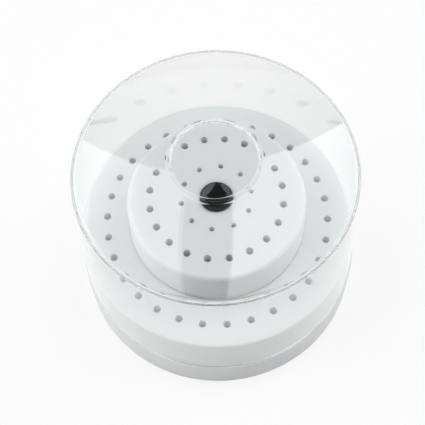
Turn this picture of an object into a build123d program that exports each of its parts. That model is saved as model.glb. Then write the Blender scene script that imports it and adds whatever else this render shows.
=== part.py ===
from build123d import *
from math import radians, tan
import os

# Round two-tier bur block with a clear lift-off cover, in millimetres, +Z up.
# The origin is the centre of the foot. A socket of each ring lies on +X.

# Block, two hollow mouldings, open underneath: the upper one stands on the lower one's deck
flange_radius = 47.7
flange_height = 14.0
lower_tier_height = 31.0
upper_tier_rise = 15.3
upper_tier_radius = 29.3
upper_tier_draft = 1.5
upper_tier_round = 1.8
lower_tier_round = 0.8
flange_round = 0.6
block_wall = 2.2
deck_thickness = 2.6
seat_width = 2.0
register_clearance = 0.1
register_depth = 2.4
register_wall = 1.5

# Sockets: 2.35 mm shanks in the two outer rings, 1.6 mm shanks in the inner one
wide_bore = 2.45
narrow_bore = 1.7
socket_wall = 1.1
socket_floor = 1.5
lower_ring_radius = 37.4
lower_ring_count = 30
lower_socket_depth = 20.0
outer_ring_radius = 22.0
outer_ring_count = 20
outer_socket_depth = 14.0
inner_ring_radius = 11.6
inner_ring_count = 10
inner_socket_depth = 12.0

# Ribs under the lower deck
rib_thickness = 1.2
rib_depth = 7.0
rib_root = 0.6
rib_count = 6

# Centre disc, a cap pushed into a cup in the upper deck
disc_radius = 5.4
disc_thickness = 4.2
disc_edge_round = 0.5
disc_crown = 0.25
cup_clearance = 0.1
cup_depth = 3.5
cup_wall = 1.4

# Clear cover, standing on the flange
cover_ledge = 0.4
cover_height = 52.3
cover_draft = 2.6
cover_wall = 1.2
cover_clearance = 0.3
cover_edge_round = 2.0
crown_rise = 5.0
boss_radius = 13.7
boss_rise = 0.9
boss_slope = 40.0
boss_edge_round = 1.2
boss_root_round = 1.2
least_round = 0.3

# Worked-out sizes
upper_tier_height = lower_tier_height + upper_tier_rise
cover_foot_radius = flange_radius - cover_ledge
upper_tier_root = upper_tier_radius + upper_tier_rise * tan(radians(upper_tier_draft))
deck_opening_radius = upper_tier_root - seat_width
cup_radius = disc_radius + cup_clearance


def cover_radius(height):
    """Outer radius of the cover at a height above the foot."""
    return cover_foot_radius - (height - flange_height) * tan(radians(cover_draft))


def spigot_radius(height):
    """Radius of the lower tier, which follows the cover's inner wall."""
    return cover_radius(height) - cover_wall - cover_clearance


def turned(points, rounds):
    """Solid of revolution about Z from an outline, with its corners between the ends rounded."""
    places = [(radius, 0, height) for radius, height in points]
    outline = FilletPolyline(*places, radius=rounds)
    last_side = Line(places[-1], places[0])
    return revolve(make_face(outline + last_side), Axis.Z)


def lower_shell():
    """Flange, spigot and lower deck as one wall, with an opening for the upper block."""
    step = lower_tier_height
    ledge = flange_height
    points = [
        (deck_opening_radius, step),
        (spigot_radius(step), step),
        (spigot_radius(ledge), ledge),
        (flange_radius, ledge),
        (flange_radius, 0),
        (flange_radius - block_wall, 0),
        (flange_radius - block_wall, ledge - block_wall),
        (spigot_radius(ledge) - block_wall, ledge - block_wall),
        (spigot_radius(step) - block_wall, step - deck_thickness),
        (deck_opening_radius, step - deck_thickness),
    ]
    rounds = [lower_tier_round, 0, flange_round, 0, 0, 0, 0, 0]
    return turned(points, rounds)


def upper_shell():
    """Upper tier and its deck, with a register ring that drops into the lower deck's opening."""
    top = upper_tier_height
    step = lower_tier_height
    register_radius = deck_opening_radius - register_clearance
    points = [
        (0, top),
        (upper_tier_radius, top),
        (upper_tier_root, step),
        (register_radius, step),
        (register_radius, step - register_depth),
        (register_radius - register_wall, step - register_depth),
        (upper_tier_radius - block_wall, top - deck_thickness),
        (0, top - deck_thickness),
    ]
    rounds = [upper_tier_round, 0, 0, 0, 0, 0]
    return turned(points, rounds)


def ring(radius, count):
    """Places of a ring of sockets, the first on +X."""
    return PolarLocations(radius, count)


def socket_tube(bore, depth, deck_top):
    """Blind tube under a deck."""
    height = depth + socket_floor - deck_thickness / 2
    middle = deck_top - deck_thickness / 2 - height / 2
    return Pos(0, 0, middle) * Cylinder(bore / 2 + socket_wall, height)


def socket_bore(bore, depth, deck_top):
    """The bore of one socket."""
    return Pos(0, 0, deck_top - depth / 2) * Cylinder(bore / 2, depth)


def with_sockets(solid, rings, cutters=()):
    """The solid with the rings' tubes added under its deck, then the bores and other cutters cut."""
    cutters = list(cutters)
    for radius, count, bore, depth, deck_top in rings:
        tube = socket_tube(bore, depth, deck_top)
        cutter = socket_bore(bore, depth, deck_top)
        solid += [place * tube for place in ring(radius, count)]
        cutters += [place * cutter for place in ring(radius, count)]
    return solid - cutters


def lower_ribs():
    """Ribs under the lower deck between its sockets, from the opening's edge to the spigot wall."""
    start = deck_opening_radius + rib_root
    end = spigot_radius(lower_tier_height) - block_wall + rib_root
    height = rib_depth + deck_thickness / 2
    middle = lower_tier_height - deck_thickness / 2 - height / 2
    rib = Pos((start + end) / 2, 0, middle) * Box(end - start, rib_thickness, height)
    half_pitch = 180 / lower_ring_count
    turn = 360 / rib_count
    return [Rot(0, 0, half_pitch + index * turn) * rib for index in range(rib_count)]


def cup_boss():
    """Cup under the upper deck that holds the centre disc."""
    depth = cup_depth + cup_wall
    return Pos(0, 0, upper_tier_height - depth / 2) * Cylinder(cup_radius + cup_wall, depth)


def cup_pocket():
    """Space for the centre disc."""
    return Pos(0, 0, upper_tier_height - cup_depth / 2) * Cylinder(cup_radius, cup_depth)


def base_block():
    """Lower moulding: the flange the cover stands on, the spigot inside it and the lower ring."""
    rings = [(lower_ring_radius, lower_ring_count, wide_bore, lower_socket_depth, lower_tier_height)]
    return with_sockets(lower_shell() + lower_ribs(), rings)


def upper_block():
    """Upper moulding: the raised tier with two rings of sockets and the cup for the disc."""
    top = upper_tier_height
    rings = [
        (outer_ring_radius, outer_ring_count, wide_bore, outer_socket_depth, top),
        (inner_ring_radius, inner_ring_count, narrow_bore, inner_socket_depth, top),
    ]
    return with_sockets(upper_shell() + cup_boss(), rings, [cup_pocket()])


def centre_disc():
    """Low crowned cap that stands a little proud of the upper deck."""
    floor = upper_tier_height - cup_depth
    crown_radius = (disc_radius**2 + disc_crown**2) / (2 * disc_crown)
    plug = Pos(0, 0, floor + disc_thickness / 2) * Cylinder(disc_radius, disc_thickness)
    dome = Pos(0, 0, floor + disc_thickness - crown_radius) * Sphere(crown_radius)
    cap = plug & dome
    side = cap.faces().filter_by(GeomType.CYLINDER)[0]
    rim = side.edges().filter_by(GeomType.CIRCLE).sort_by(Axis.Z)[-1]
    return fillet(rim, disc_edge_round)


def cover():
    """One clear wall of even thickness whose top rises gently to a low round boss."""
    rim = flange_height + cover_height
    crown = rim + crown_rise
    boss_top = crown + boss_rise
    boss_root = boss_radius + boss_rise / tan(radians(boss_slope))
    inner_shift = cover_wall * tan(radians(boss_slope / 2))
    points = [
        (0, boss_top),
        (boss_radius, boss_top),
        (boss_root, crown),
        (cover_radius(rim), rim),
        (cover_foot_radius, flange_height),
        (cover_foot_radius - cover_wall, flange_height),
        (cover_radius(rim) - cover_wall, rim - cover_wall),
        (boss_root - inner_shift, crown - cover_wall),
        (boss_radius - inner_shift, boss_top - cover_wall),
        (0, boss_top - cover_wall),
    ]
    rounds = [
        boss_edge_round,
        boss_root_round,
        cover_edge_round,
        0,
        0,
        max(cover_edge_round - cover_wall, least_round),
        boss_root_round + cover_wall,
        max(boss_edge_round - cover_wall, least_round),
    ]
    return turned(points, rounds)


os.makedirs("parts", exist_ok=True)
export_step(base_block(), "parts/base_block.step")
export_step(upper_block(), "parts/upper_block.step")
export_step(centre_disc(), "parts/centre_disc.step")
export_step(cover(), "parts/cover.step")
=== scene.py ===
from math import atan2, radians, sqrt, tan

import bmesh
import bpy
from mathutils import Matrix, Vector


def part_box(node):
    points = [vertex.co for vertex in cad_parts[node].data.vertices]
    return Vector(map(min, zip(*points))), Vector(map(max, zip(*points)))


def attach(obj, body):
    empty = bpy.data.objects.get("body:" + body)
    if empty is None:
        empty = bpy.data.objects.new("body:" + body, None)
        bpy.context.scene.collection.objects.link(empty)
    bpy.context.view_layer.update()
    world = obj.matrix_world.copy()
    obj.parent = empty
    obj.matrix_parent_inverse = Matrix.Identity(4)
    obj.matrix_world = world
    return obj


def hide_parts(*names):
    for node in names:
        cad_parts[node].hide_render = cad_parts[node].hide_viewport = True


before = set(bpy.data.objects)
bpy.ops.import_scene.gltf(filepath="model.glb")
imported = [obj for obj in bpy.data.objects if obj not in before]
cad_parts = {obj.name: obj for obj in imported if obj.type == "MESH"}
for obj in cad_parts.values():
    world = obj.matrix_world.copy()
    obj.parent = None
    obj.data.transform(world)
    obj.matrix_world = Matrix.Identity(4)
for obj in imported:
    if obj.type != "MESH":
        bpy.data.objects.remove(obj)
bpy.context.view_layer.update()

# Places and sizes, in metres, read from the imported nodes
disc_low, disc_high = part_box("centre_disc")
cover_low, cover_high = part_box("cover")

# The clear cover
COVER_FOOT_RADIUS = cover_high.x
COVER_FOOT = cover_low.z
FOOT_GAP = 0.00003
TOP_MARGIN = 0.000002
BOSS_TOP = cover_high.z - TOP_MARGIN
BOSS_RISE = 0.0009
CROWN = BOSS_TOP - BOSS_RISE
CROWN_RISE = 0.0050
RIM = CROWN - CROWN_RISE
COVER_DRAFT = radians(2.6)
COVER_WALL = 0.0012
BOSS_RADIUS = 0.0137
BOSS_SLOPE = radians(40)
COVER_EDGE_ROUND = 0.0020
BOSS_EDGE_ROUND = 0.0012
BOSS_ROOT_ROUND = 0.0012
LEAST_ROUND = 0.0003
FOOT_EDGE_ROUND = 0.00025
COVER_STEPS = 480
COVER_TIP = 0.0004

# The black disc
DISC_RADIUS = disc_high.x
DISC_FOOT = disc_low.z
DISC_TOP = disc_high.z
DISC_DISH = 0.0008
DISC_EDGE_ROUND = 0.0004
DISC_STEPS = 96
DISC_TIP = 0.0003
DISH_RINGS = 8

# Turning, welding and shading
ROUND_SEGMENTS = 12
NEAR = 1e-5
TURNED_WELD = 1e-7
MOULDING_WELD = 1e-6
TURNED_SMOOTH_ANGLE = 35
MOULDING_SMOOTH_ANGLE = 32
LARGE_FACE_WEIGHT = 100

# Plastics
CLEAR_INDEX = 1.49
CLEAR_SHADOW = (0.97, 0.97, 0.965, 1)
WHITE_INDEX = 1.49
WHITE_GLOW_SHARE = 0.9
WHITE_GLOW_DEPTH = 0.0025
BLACK_INDEX = 1.6

# Studio light: a sky from the sides and a little from the back, and two softboxes
SIDE_SKY_NARROWNESS = 8.0
BACK_SKY_SHARE = 0.10
SKY_STRENGTH = 3.1
MIRRORED_WHITE_ENDS = 0.52
MIRRORED_DARK_STARTS = 0.66
MIRRORED_DARK = 0.04
LAMP_COLOUR = (0.94, 0.985, 1.0)

# Table top
TABLE_SIZE = 6
TABLE_HEIGHT = -0.0002
TABLE_LIT = (0.88, 0.88, 0.88, 1)
TABLE_SEEN = (0.26, 0.255, 0.25, 1)
TABLE_GLOW = 0.76

# Bounces: light led down the cover's wall takes many before it comes out
WALL_BOUNCES = 64
DULL_BOUNCES = 12


# Modelling by hand

def deselect_all():
    """Nothing is left selected before a new piece is started."""
    if bpy.context.mode != "OBJECT":
        bpy.ops.object.mode_set(mode="OBJECT")
    bpy.ops.object.select_all(action="DESELECT")


def make_active(piece):
    """Only this piece is selected and active."""
    deselect_all()
    piece.select_set(True)
    bpy.context.view_layer.objects.active = piece


def start_ring(name, radius, height, steps):
    """A ring of edges on the axis, in edit mode and all selected."""
    deselect_all()
    bpy.ops.mesh.primitive_circle_add(
        vertices=steps, radius=radius, fill_type="NOTHING", location=(0, 0, height)
    )
    piece = bpy.context.object
    piece.name = name
    piece.data.name = name
    bpy.ops.object.transform_apply(location=True, rotation=True, scale=True)
    bpy.ops.object.mode_set(mode="EDIT")
    bpy.ops.mesh.select_all(action="SELECT")
    return piece


def extrude_ring(old, new):
    """Extrudes the selected ring from one (radius, height) to the next."""
    rise = (0, 0, new[1] - old[1])
    bpy.ops.mesh.extrude_region_move(TRANSFORM_OT_translate={"value": rise})
    scale = new[0] / old[0]
    bpy.ops.transform.resize(value=(scale, scale, 1), center_override=(0, 0, new[1]))


def select_ring(piece, radius, height):
    """Selects the edges and points of the ring at this radius and height."""
    bpy.ops.mesh.select_mode(type="EDGE")
    bpy.ops.mesh.select_all(action="DESELECT")
    mesh = bmesh.from_edit_mesh(piece.data)
    for edge in mesh.edges:
        edge.select_set(
            all(
                abs(sqrt(v.co.x**2 + v.co.y**2) - radius) < NEAR and abs(v.co.z - height) < NEAR
                for v in edge.verts
            )
        )
    mesh.select_flush_mode()
    bmesh.update_edit_mesh(piece.data)


def round_ring(piece, corner, before, after, radius):
    """Rounds the ring at a corner of the outline to a radius, from its two neighbours."""
    into = atan2(corner[1] - before[1], corner[0] - before[0])
    out = atan2(after[1] - corner[1], after[0] - corner[0])
    turn = abs((out - into + radians(180)) % radians(360) - radians(180))
    select_ring(piece, *corner)
    bpy.ops.mesh.bevel(
        offset=radius * tan(turn / 2),
        offset_type="OFFSET",
        segments=ROUND_SEGMENTS,
        affect="EDGES",
        clamp_overlap=False,
    )


def turn_outline(name, outline, rounds, steps):
    """A closed turned piece from an outline of (radius, height) whose ends lie near the axis.

    rounds gives the radius of each corner between the ends, 0 for a sharp one."""
    piece = start_ring(name, *outline[0], steps)
    for old, new in zip(outline, outline[1:]):
        extrude_ring(old, new)
    corners = list(zip(outline, outline[1:], outline[2:], rounds))
    for before, corner, after, radius in corners:
        if radius > 0:
            round_ring(piece, corner, before, after, radius)
    for end in (outline[0], outline[-1]):
        select_ring(piece, *end)
        bpy.ops.mesh.merge(type="CENTER")
    bpy.ops.mesh.select_all(action="SELECT")
    bpy.ops.mesh.remove_doubles(threshold=TURNED_WELD)
    bpy.ops.mesh.normals_make_consistent(inside=False)
    bpy.ops.object.mode_set(mode="OBJECT")
    return piece


def smooth_faces(piece, angle):
    """Smooth shading up to an angle in degrees, led by the largest faces."""
    make_active(piece)
    bpy.ops.object.shade_smooth_by_angle(angle=radians(angle))
    bpy.ops.object.modifier_add(type="WEIGHTED_NORMAL")
    modifier = piece.modifiers[-1]
    modifier.keep_sharp = True
    modifier.weight = LARGE_FACE_WEIGHT
    bpy.ops.object.modifier_apply(modifier=modifier.name)


# Material effects

def add_noise(tree, detail, roughness):
    """A noise texture of a given detail and roughness."""
    noise = tree.nodes.new("ShaderNodeTexNoise")
    noise.inputs["Detail"].default_value = detail
    noise.inputs["Roughness"].default_value = roughness
    return noise


def add_math(tree, operation, *values):
    """The result of a math node whose inputs are other nodes' outputs or plain numbers."""
    node = tree.nodes.new("ShaderNodeMath")
    node.operation = operation
    for socket, value in zip(node.inputs, values):
        if isinstance(value, bpy.types.NodeSocket):
            tree.links.new(value, socket)
        else:
            socket.default_value = value
    return node.outputs[0]


def moulded_surface_group():
    """Flow clouds in the colour, fine grain and uneven gloss of a moulded plastic."""
    group = bpy.data.node_groups.new("moulded surface", "ShaderNodeTree")
    face = group.interface
    for name, kind in (
        ("Light colour", "NodeSocketColor"),
        ("Dark colour", "NodeSocketColor"),
        ("Cloud size", "NodeSocketFloat"),
        ("Grain size", "NodeSocketFloat"),
        ("Least roughness", "NodeSocketFloat"),
        ("Most roughness", "NodeSocketFloat"),
    ):
        face.new_socket(name=name, in_out="INPUT", socket_type=kind)
    face.new_socket(name="Colour", in_out="OUTPUT", socket_type="NodeSocketColor")
    face.new_socket(name="Roughness", in_out="OUTPUT", socket_type="NodeSocketFloat")
    face.new_socket(name="Height", in_out="OUTPUT", socket_type="NodeSocketFloat")
    given = group.nodes.new("NodeGroupInput")
    result = group.nodes.new("NodeGroupOutput")
    place = group.nodes.new("ShaderNodeTexCoord")
    clouds = add_noise(group, detail=3.0, roughness=0.55)
    grain = add_noise(group, detail=2.0, roughness=0.6)
    for noise, size in ((clouds, "Cloud size"), (grain, "Grain size")):
        scale = add_math(group, "DIVIDE", 1.0, given.outputs[size])
        group.links.new(scale, noise.inputs["Scale"])
        group.links.new(place.outputs["Object"], noise.inputs["Vector"])
    colour = group.nodes.new("ShaderNodeMix")
    colour.data_type = "RGBA"
    group.links.new(clouds.outputs["Fac"], colour.inputs["Factor"])
    group.links.new(given.outputs["Dark colour"], colour.inputs["A"])
    group.links.new(given.outputs["Light colour"], colour.inputs["B"])
    half = add_math(group, "MULTIPLY", clouds.outputs["Fac"], 0.5)
    both = add_math(group, "MULTIPLY_ADD", grain.outputs["Fac"], 0.5, half)
    gloss = group.nodes.new("ShaderNodeMapRange")
    gloss.inputs["From Min"].default_value = 0.3
    gloss.inputs["From Max"].default_value = 0.7
    group.links.new(both, gloss.inputs["Value"])
    group.links.new(given.outputs["Least roughness"], gloss.inputs["To Min"])
    group.links.new(given.outputs["Most roughness"], gloss.inputs["To Max"])
    group.links.new(colour.outputs["Result"], result.inputs["Colour"])
    group.links.new(gloss.outputs["Result"], result.inputs["Roughness"])
    group.links.new(grain.outputs["Fac"], result.inputs["Height"])
    return group


MOULDED = moulded_surface_group()


def moulded_material(name, light, dark, clouds, grain, least, most, bump):
    """A moulded plastic: its shader and the shared moulded surface behind it."""
    material = bpy.data.materials.new(name)
    material.use_nodes = True
    tree = material.node_tree
    shader = tree.nodes["Principled BSDF"]
    surface = tree.nodes.new("ShaderNodeGroup")
    surface.node_tree = MOULDED
    surface.inputs["Light colour"].default_value = (*light, 1)
    surface.inputs["Dark colour"].default_value = (*dark, 1)
    surface.inputs["Cloud size"].default_value = clouds
    surface.inputs["Grain size"].default_value = grain
    surface.inputs["Least roughness"].default_value = least
    surface.inputs["Most roughness"].default_value = most
    relief = tree.nodes.new("ShaderNodeBump")
    relief.inputs["Strength"].default_value = 1.0
    relief.inputs["Distance"].default_value = bump
    tree.links.new(surface.outputs["Height"], relief.inputs["Height"])
    tree.links.new(surface.outputs["Colour"], shader.inputs["Base Color"])
    tree.links.new(surface.outputs["Roughness"], shader.inputs["Roughness"])
    tree.links.new(relief.outputs["Normal"], shader.inputs["Normal"])
    return material, shader


def clear_plastic():
    """Clear cover plastic. Rays from lamps and from dull surfaces pass it straight."""
    material, shader = moulded_material(
        "clear cover plastic",
        (0.990, 0.992, 0.988),
        (0.984, 0.987, 0.982),
        clouds=0.03,
        grain=0.004,
        least=0.0,
        most=0.006,
        bump=0.0000004,
    )
    shader.inputs["Transmission Weight"].default_value = 1.0
    shader.inputs["IOR"].default_value = CLEAR_INDEX
    tree = material.node_tree
    path = tree.nodes.new("ShaderNodeLightPath")
    shadow, dull = path.outputs["Is Shadow Ray"], path.outputs["Is Diffuse Ray"]
    straight = add_math(tree, "MAXIMUM", shadow, dull)
    through = tree.nodes.new("ShaderNodeBsdfTransparent")
    through.inputs["Color"].default_value = CLEAR_SHADOW
    both = tree.nodes.new("ShaderNodeMixShader")
    tree.links.new(straight, both.inputs[0])
    tree.links.new(shader.outputs[0], both.inputs[1])
    tree.links.new(through.outputs[0], both.inputs[2])
    tree.links.new(both.outputs[0], tree.nodes["Material Output"].inputs["Surface"])
    return material


def white_plastic():
    """White moulded plastic of the block, faintly cool and softly glossy."""
    material, shader = moulded_material(
        "white block plastic",
        (0.905, 0.920, 0.935),
        (0.885, 0.900, 0.915),
        clouds=0.02,
        grain=0.0004,
        least=0.32,
        most=0.48,
        bump=0.00001,
    )
    shader.inputs["IOR"].default_value = WHITE_INDEX
    shader.inputs["Subsurface Weight"].default_value = WHITE_GLOW_SHARE
    shader.inputs["Subsurface Radius"].default_value = (1.0, 1.0, 1.0)
    shader.inputs["Subsurface Scale"].default_value = WHITE_GLOW_DEPTH
    return material


def black_plastic():
    """Glossy black plastic of the centre disc."""
    material, shader = moulded_material(
        "black disc plastic",
        (0.004, 0.005, 0.006),
        (0.003, 0.0035, 0.004),
        clouds=0.004,
        grain=0.0003,
        least=0.05,
        most=0.10,
        bump=0.000004,
    )
    shader.inputs["IOR"].default_value = BLACK_INDEX
    return material


# Pieces

def make_cover():
    """The clear cover, one nearly even wall whose top rises gently to a low boss."""
    boss_root = BOSS_RADIUS + BOSS_RISE / tan(BOSS_SLOPE)
    rim_radius = COVER_FOOT_RADIUS - (RIM - COVER_FOOT) * tan(COVER_DRAFT)
    inner_shift = COVER_WALL * tan(BOSS_SLOPE / 2)
    foot = COVER_FOOT + FOOT_GAP
    outline = [
        (COVER_TIP, BOSS_TOP),
        (BOSS_RADIUS, BOSS_TOP),
        (boss_root, CROWN),
        (rim_radius, RIM),
        (COVER_FOOT_RADIUS, foot),
        (COVER_FOOT_RADIUS - COVER_WALL, foot),
        (rim_radius - COVER_WALL, RIM - COVER_WALL),
        (boss_root - inner_shift, CROWN - COVER_WALL),
        (BOSS_RADIUS - inner_shift, BOSS_TOP - COVER_WALL),
        (COVER_TIP, BOSS_TOP - COVER_WALL),
    ]
    rounds = [
        BOSS_EDGE_ROUND,
        BOSS_ROOT_ROUND,
        COVER_EDGE_ROUND,
        FOOT_EDGE_ROUND,
        FOOT_EDGE_ROUND,
        max(COVER_EDGE_ROUND - COVER_WALL, LEAST_ROUND),
        BOSS_ROOT_ROUND + COVER_WALL,
        max(BOSS_EDGE_ROUND - COVER_WALL, LEAST_ROUND),
    ]
    piece = turn_outline("clear_cover", outline, rounds, COVER_STEPS)
    piece.data.materials.append(clear_plastic())
    smooth_faces(piece, TURNED_SMOOTH_ANGLE)
    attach(piece, "cover")
    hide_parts("cover")


def make_disc():
    """The black disc, a cap with a soft edge and a shallow dish in its top."""
    bowl = (DISC_RADIUS**2 + DISC_DISH**2) / (2 * DISC_DISH)

    def height(radius):
        """Height of the dish at a radius."""
        return DISC_TOP - DISC_DISH + bowl - sqrt(bowl**2 - radius**2)

    reach = DISC_RADIUS - DISC_TIP
    dish_radii = [DISC_RADIUS - reach * step / DISH_RINGS for step in range(DISH_RINGS + 1)]
    outline = [(DISC_TIP, DISC_FOOT), (DISC_RADIUS, DISC_FOOT)]
    outline += [(radius, height(radius)) for radius in dish_radii]
    rounds = [0, DISC_EDGE_ROUND] + [0] * (DISH_RINGS - 1)
    piece = turn_outline("black_disc", outline, rounds, DISC_STEPS)
    piece.data.materials.append(black_plastic())
    smooth_faces(piece, TURNED_SMOOTH_ANGLE)
    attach(piece, "block")
    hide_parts("centre_disc")


def make_moulding(name, node_name, plastic):
    """A white moulding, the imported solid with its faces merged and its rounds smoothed."""
    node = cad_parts[node_name]
    piece = node.copy()
    piece.data = node.data.copy()
    for key in [key for key in piece.keys() if key.startswith("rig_")]:
        del piece[key]
    piece.name = name
    piece.data.name = name
    bpy.context.scene.collection.objects.link(piece)
    piece.parent = None
    make_active(piece)
    bpy.ops.mesh.customdata_custom_splitnormals_clear()
    bpy.ops.object.mode_set(mode="EDIT")
    bpy.ops.mesh.select_all(action="SELECT")
    bpy.ops.mesh.remove_doubles(threshold=MOULDING_WELD)
    bpy.ops.object.mode_set(mode="OBJECT")
    piece.data.materials.clear()
    piece.data.materials.append(plastic)
    smooth_faces(piece, MOULDING_SMOOTH_ANGLE)
    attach(piece, "block")
    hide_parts(node_name)


# Studio

def seen_directly(tree):
    """1 for rays from the camera, a mirror or through clear plastic, else 0."""
    rays = tree.nodes.new("ShaderNodeLightPath").outputs
    first = add_math(tree, "MAXIMUM", rays["Is Camera Ray"], rays["Is Transmission Ray"])
    return add_math(tree, "MAXIMUM", first, rays["Is Glossy Ray"])


def make_world():
    """White where it is seen. It lights the object from the sides and a little from the back."""
    world = bpy.data.worlds.new("studio")
    bpy.context.scene.world = world
    world.use_nodes = True
    tree = world.node_tree
    tree.nodes.clear()
    output = tree.nodes.new("ShaderNodeOutputWorld")
    mix = tree.nodes.new("ShaderNodeMixShader")
    light = tree.nodes.new("ShaderNodeBackground")
    white = tree.nodes.new("ShaderNodeBackground")
    light.inputs["Color"].default_value = (1, 1, 1, 1)
    white.inputs["Color"].default_value = (1, 1, 1, 1)
    place = tree.nodes.new("ShaderNodeTexCoord")
    parts = tree.nodes.new("ShaderNodeSeparateXYZ")
    tree.links.new(place.outputs["Generated"], parts.inputs[0])
    even = add_math(tree, "ABSOLUTE", parts.outputs["X"])
    sides = add_math(tree, "POWER", even, SIDE_SKY_NARROWNESS)
    back = add_math(tree, "MAXIMUM", parts.outputs["Y"], 0.0)
    both = add_math(tree, "MULTIPLY_ADD", back, BACK_SKY_SHARE, sides)
    sky = tree.nodes.new("ShaderNodeMapRange")
    sky.inputs["To Min"].default_value = 0.0
    sky.inputs["To Max"].default_value = SKY_STRENGTH
    tree.links.new(both, sky.inputs["Value"])
    tree.links.new(sky.outputs["Result"], light.inputs["Strength"])
    ceiling = tree.nodes.new("ShaderNodeMapRange")
    ceiling.inputs["From Min"].default_value = MIRRORED_WHITE_ENDS
    ceiling.inputs["From Max"].default_value = MIRRORED_DARK_STARTS
    ceiling.inputs["To Min"].default_value = 1.0
    ceiling.inputs["To Max"].default_value = MIRRORED_DARK
    tree.links.new(parts.outputs["Z"], ceiling.inputs["Value"])
    mirrored = tree.nodes.new("ShaderNodeLightPath")
    seen = tree.nodes.new("ShaderNodeMix")
    seen.inputs["A"].default_value = 1.0
    tree.links.new(mirrored.outputs["Is Glossy Ray"], seen.inputs["Factor"])
    tree.links.new(ceiling.outputs["Result"], seen.inputs["B"])
    tree.links.new(seen.outputs["Result"], white.inputs["Strength"])
    tree.links.new(seen_directly(tree), mix.inputs[0])
    tree.links.new(light.outputs[0], mix.inputs[1])
    tree.links.new(white.outputs[0], mix.inputs[2])
    tree.links.new(mix.outputs[0], output.inputs["Surface"])


def make_floor():
    """A white table top that keeps the object's soft shadow."""
    deselect_all()
    bpy.ops.mesh.primitive_plane_add(size=TABLE_SIZE, location=(0, 0, TABLE_HEIGHT))
    floor = bpy.context.object
    floor.name = "table_top"
    bpy.ops.object.transform_apply(location=True)
    material = bpy.data.materials.new("white table top")
    material.use_nodes = True
    tree = material.node_tree
    shader = tree.nodes["Principled BSDF"]
    seen = seen_directly(tree)
    shade = tree.nodes.new("ShaderNodeMix")
    shade.data_type = "RGBA"
    shade.inputs["A"].default_value = TABLE_LIT
    shade.inputs["B"].default_value = TABLE_SEEN
    tree.links.new(seen, shade.inputs["Factor"])
    tree.links.new(shade.outputs["Result"], shader.inputs["Base Color"])
    shader.inputs["Roughness"].default_value = 0.9
    shader.inputs["Specular IOR Level"].default_value = 0.1
    shader.inputs["Emission Color"].default_value = (1, 1, 1, 1)
    glow = add_math(tree, "MULTIPLY", seen, TABLE_GLOW)
    tree.links.new(glow, shader.inputs["Emission Strength"])
    floor.data.materials.append(material)


def add_softbox(name, near, far, width, power):
    """A soft light given by the two corners of its inner edge. It faces the object."""
    near = Vector(near)
    edge = Vector(far) - near
    length = edge.length
    edge.normalize()
    middle = near + edge * length / 2
    away = middle - Vector((0, 0, COVER_FOOT))
    away = (away - edge * away.dot(edge)).normalized()
    across = away.cross(edge)
    if across.x * middle.x < 0:
        edge.negate()
        across.negate()
    data = bpy.data.lights.new(name, "AREA")
    data.shape = "RECTANGLE"
    data.size = length
    data.size_y = width
    data.energy = power
    data.color = LAMP_COLOUR
    lamp = bpy.data.objects.new(name, data)
    bpy.context.scene.collection.objects.link(lamp)
    turn = Matrix((edge, across, away)).transposed().to_4x4()
    lamp.matrix_world = Matrix.Translation(middle + across * width / 2) @ turn


def make_lights():
    """Two large soft lights above, left and right, with a dark wedge between them."""
    add_softbox(
        "softbox_left",
        near=(-0.065, -0.113, 0.97),
        far=(-0.50, 1.06, 0.97),
        width=1.15,
        power=8.0,
    )
    add_softbox(
        "softbox_right",
        near=(-0.057, -0.096, 0.97),
        far=(0.76, 0.836, 0.97),
        width=0.85,
        power=6.8,
    )


def make_camera():
    """The photograph's viewpoint, for a square picture."""
    data = bpy.data.cameras.new("camera")
    data.sensor_width = 36.0
    data.lens = 83.18
    data.clip_start = 0.01
    data.clip_end = 20.0
    camera = bpy.data.objects.new("camera", data)
    bpy.context.scene.collection.objects.link(camera)
    camera.location = (-0.022021, -0.145112, 0.331455)
    camera.rotation_euler = (radians(26.3499), radians(1.3017), radians(-10.665))
    bpy.context.scene.camera = camera


make_camera()
make_cover()
make_disc()
plastic = white_plastic()
make_moulding("lower_tier", "base_block", plastic)
make_moulding("upper_tier", "upper_block", plastic)
make_world()
make_floor()
make_lights()

scene = bpy.context.scene
scene.view_settings.view_transform = "Standard"
scene.cycles.max_bounces = WALL_BOUNCES
scene.cycles.diffuse_bounces = DULL_BOUNCES
scene.cycles.glossy_bounces = WALL_BOUNCES
scene.cycles.transmission_bounces = WALL_BOUNCES
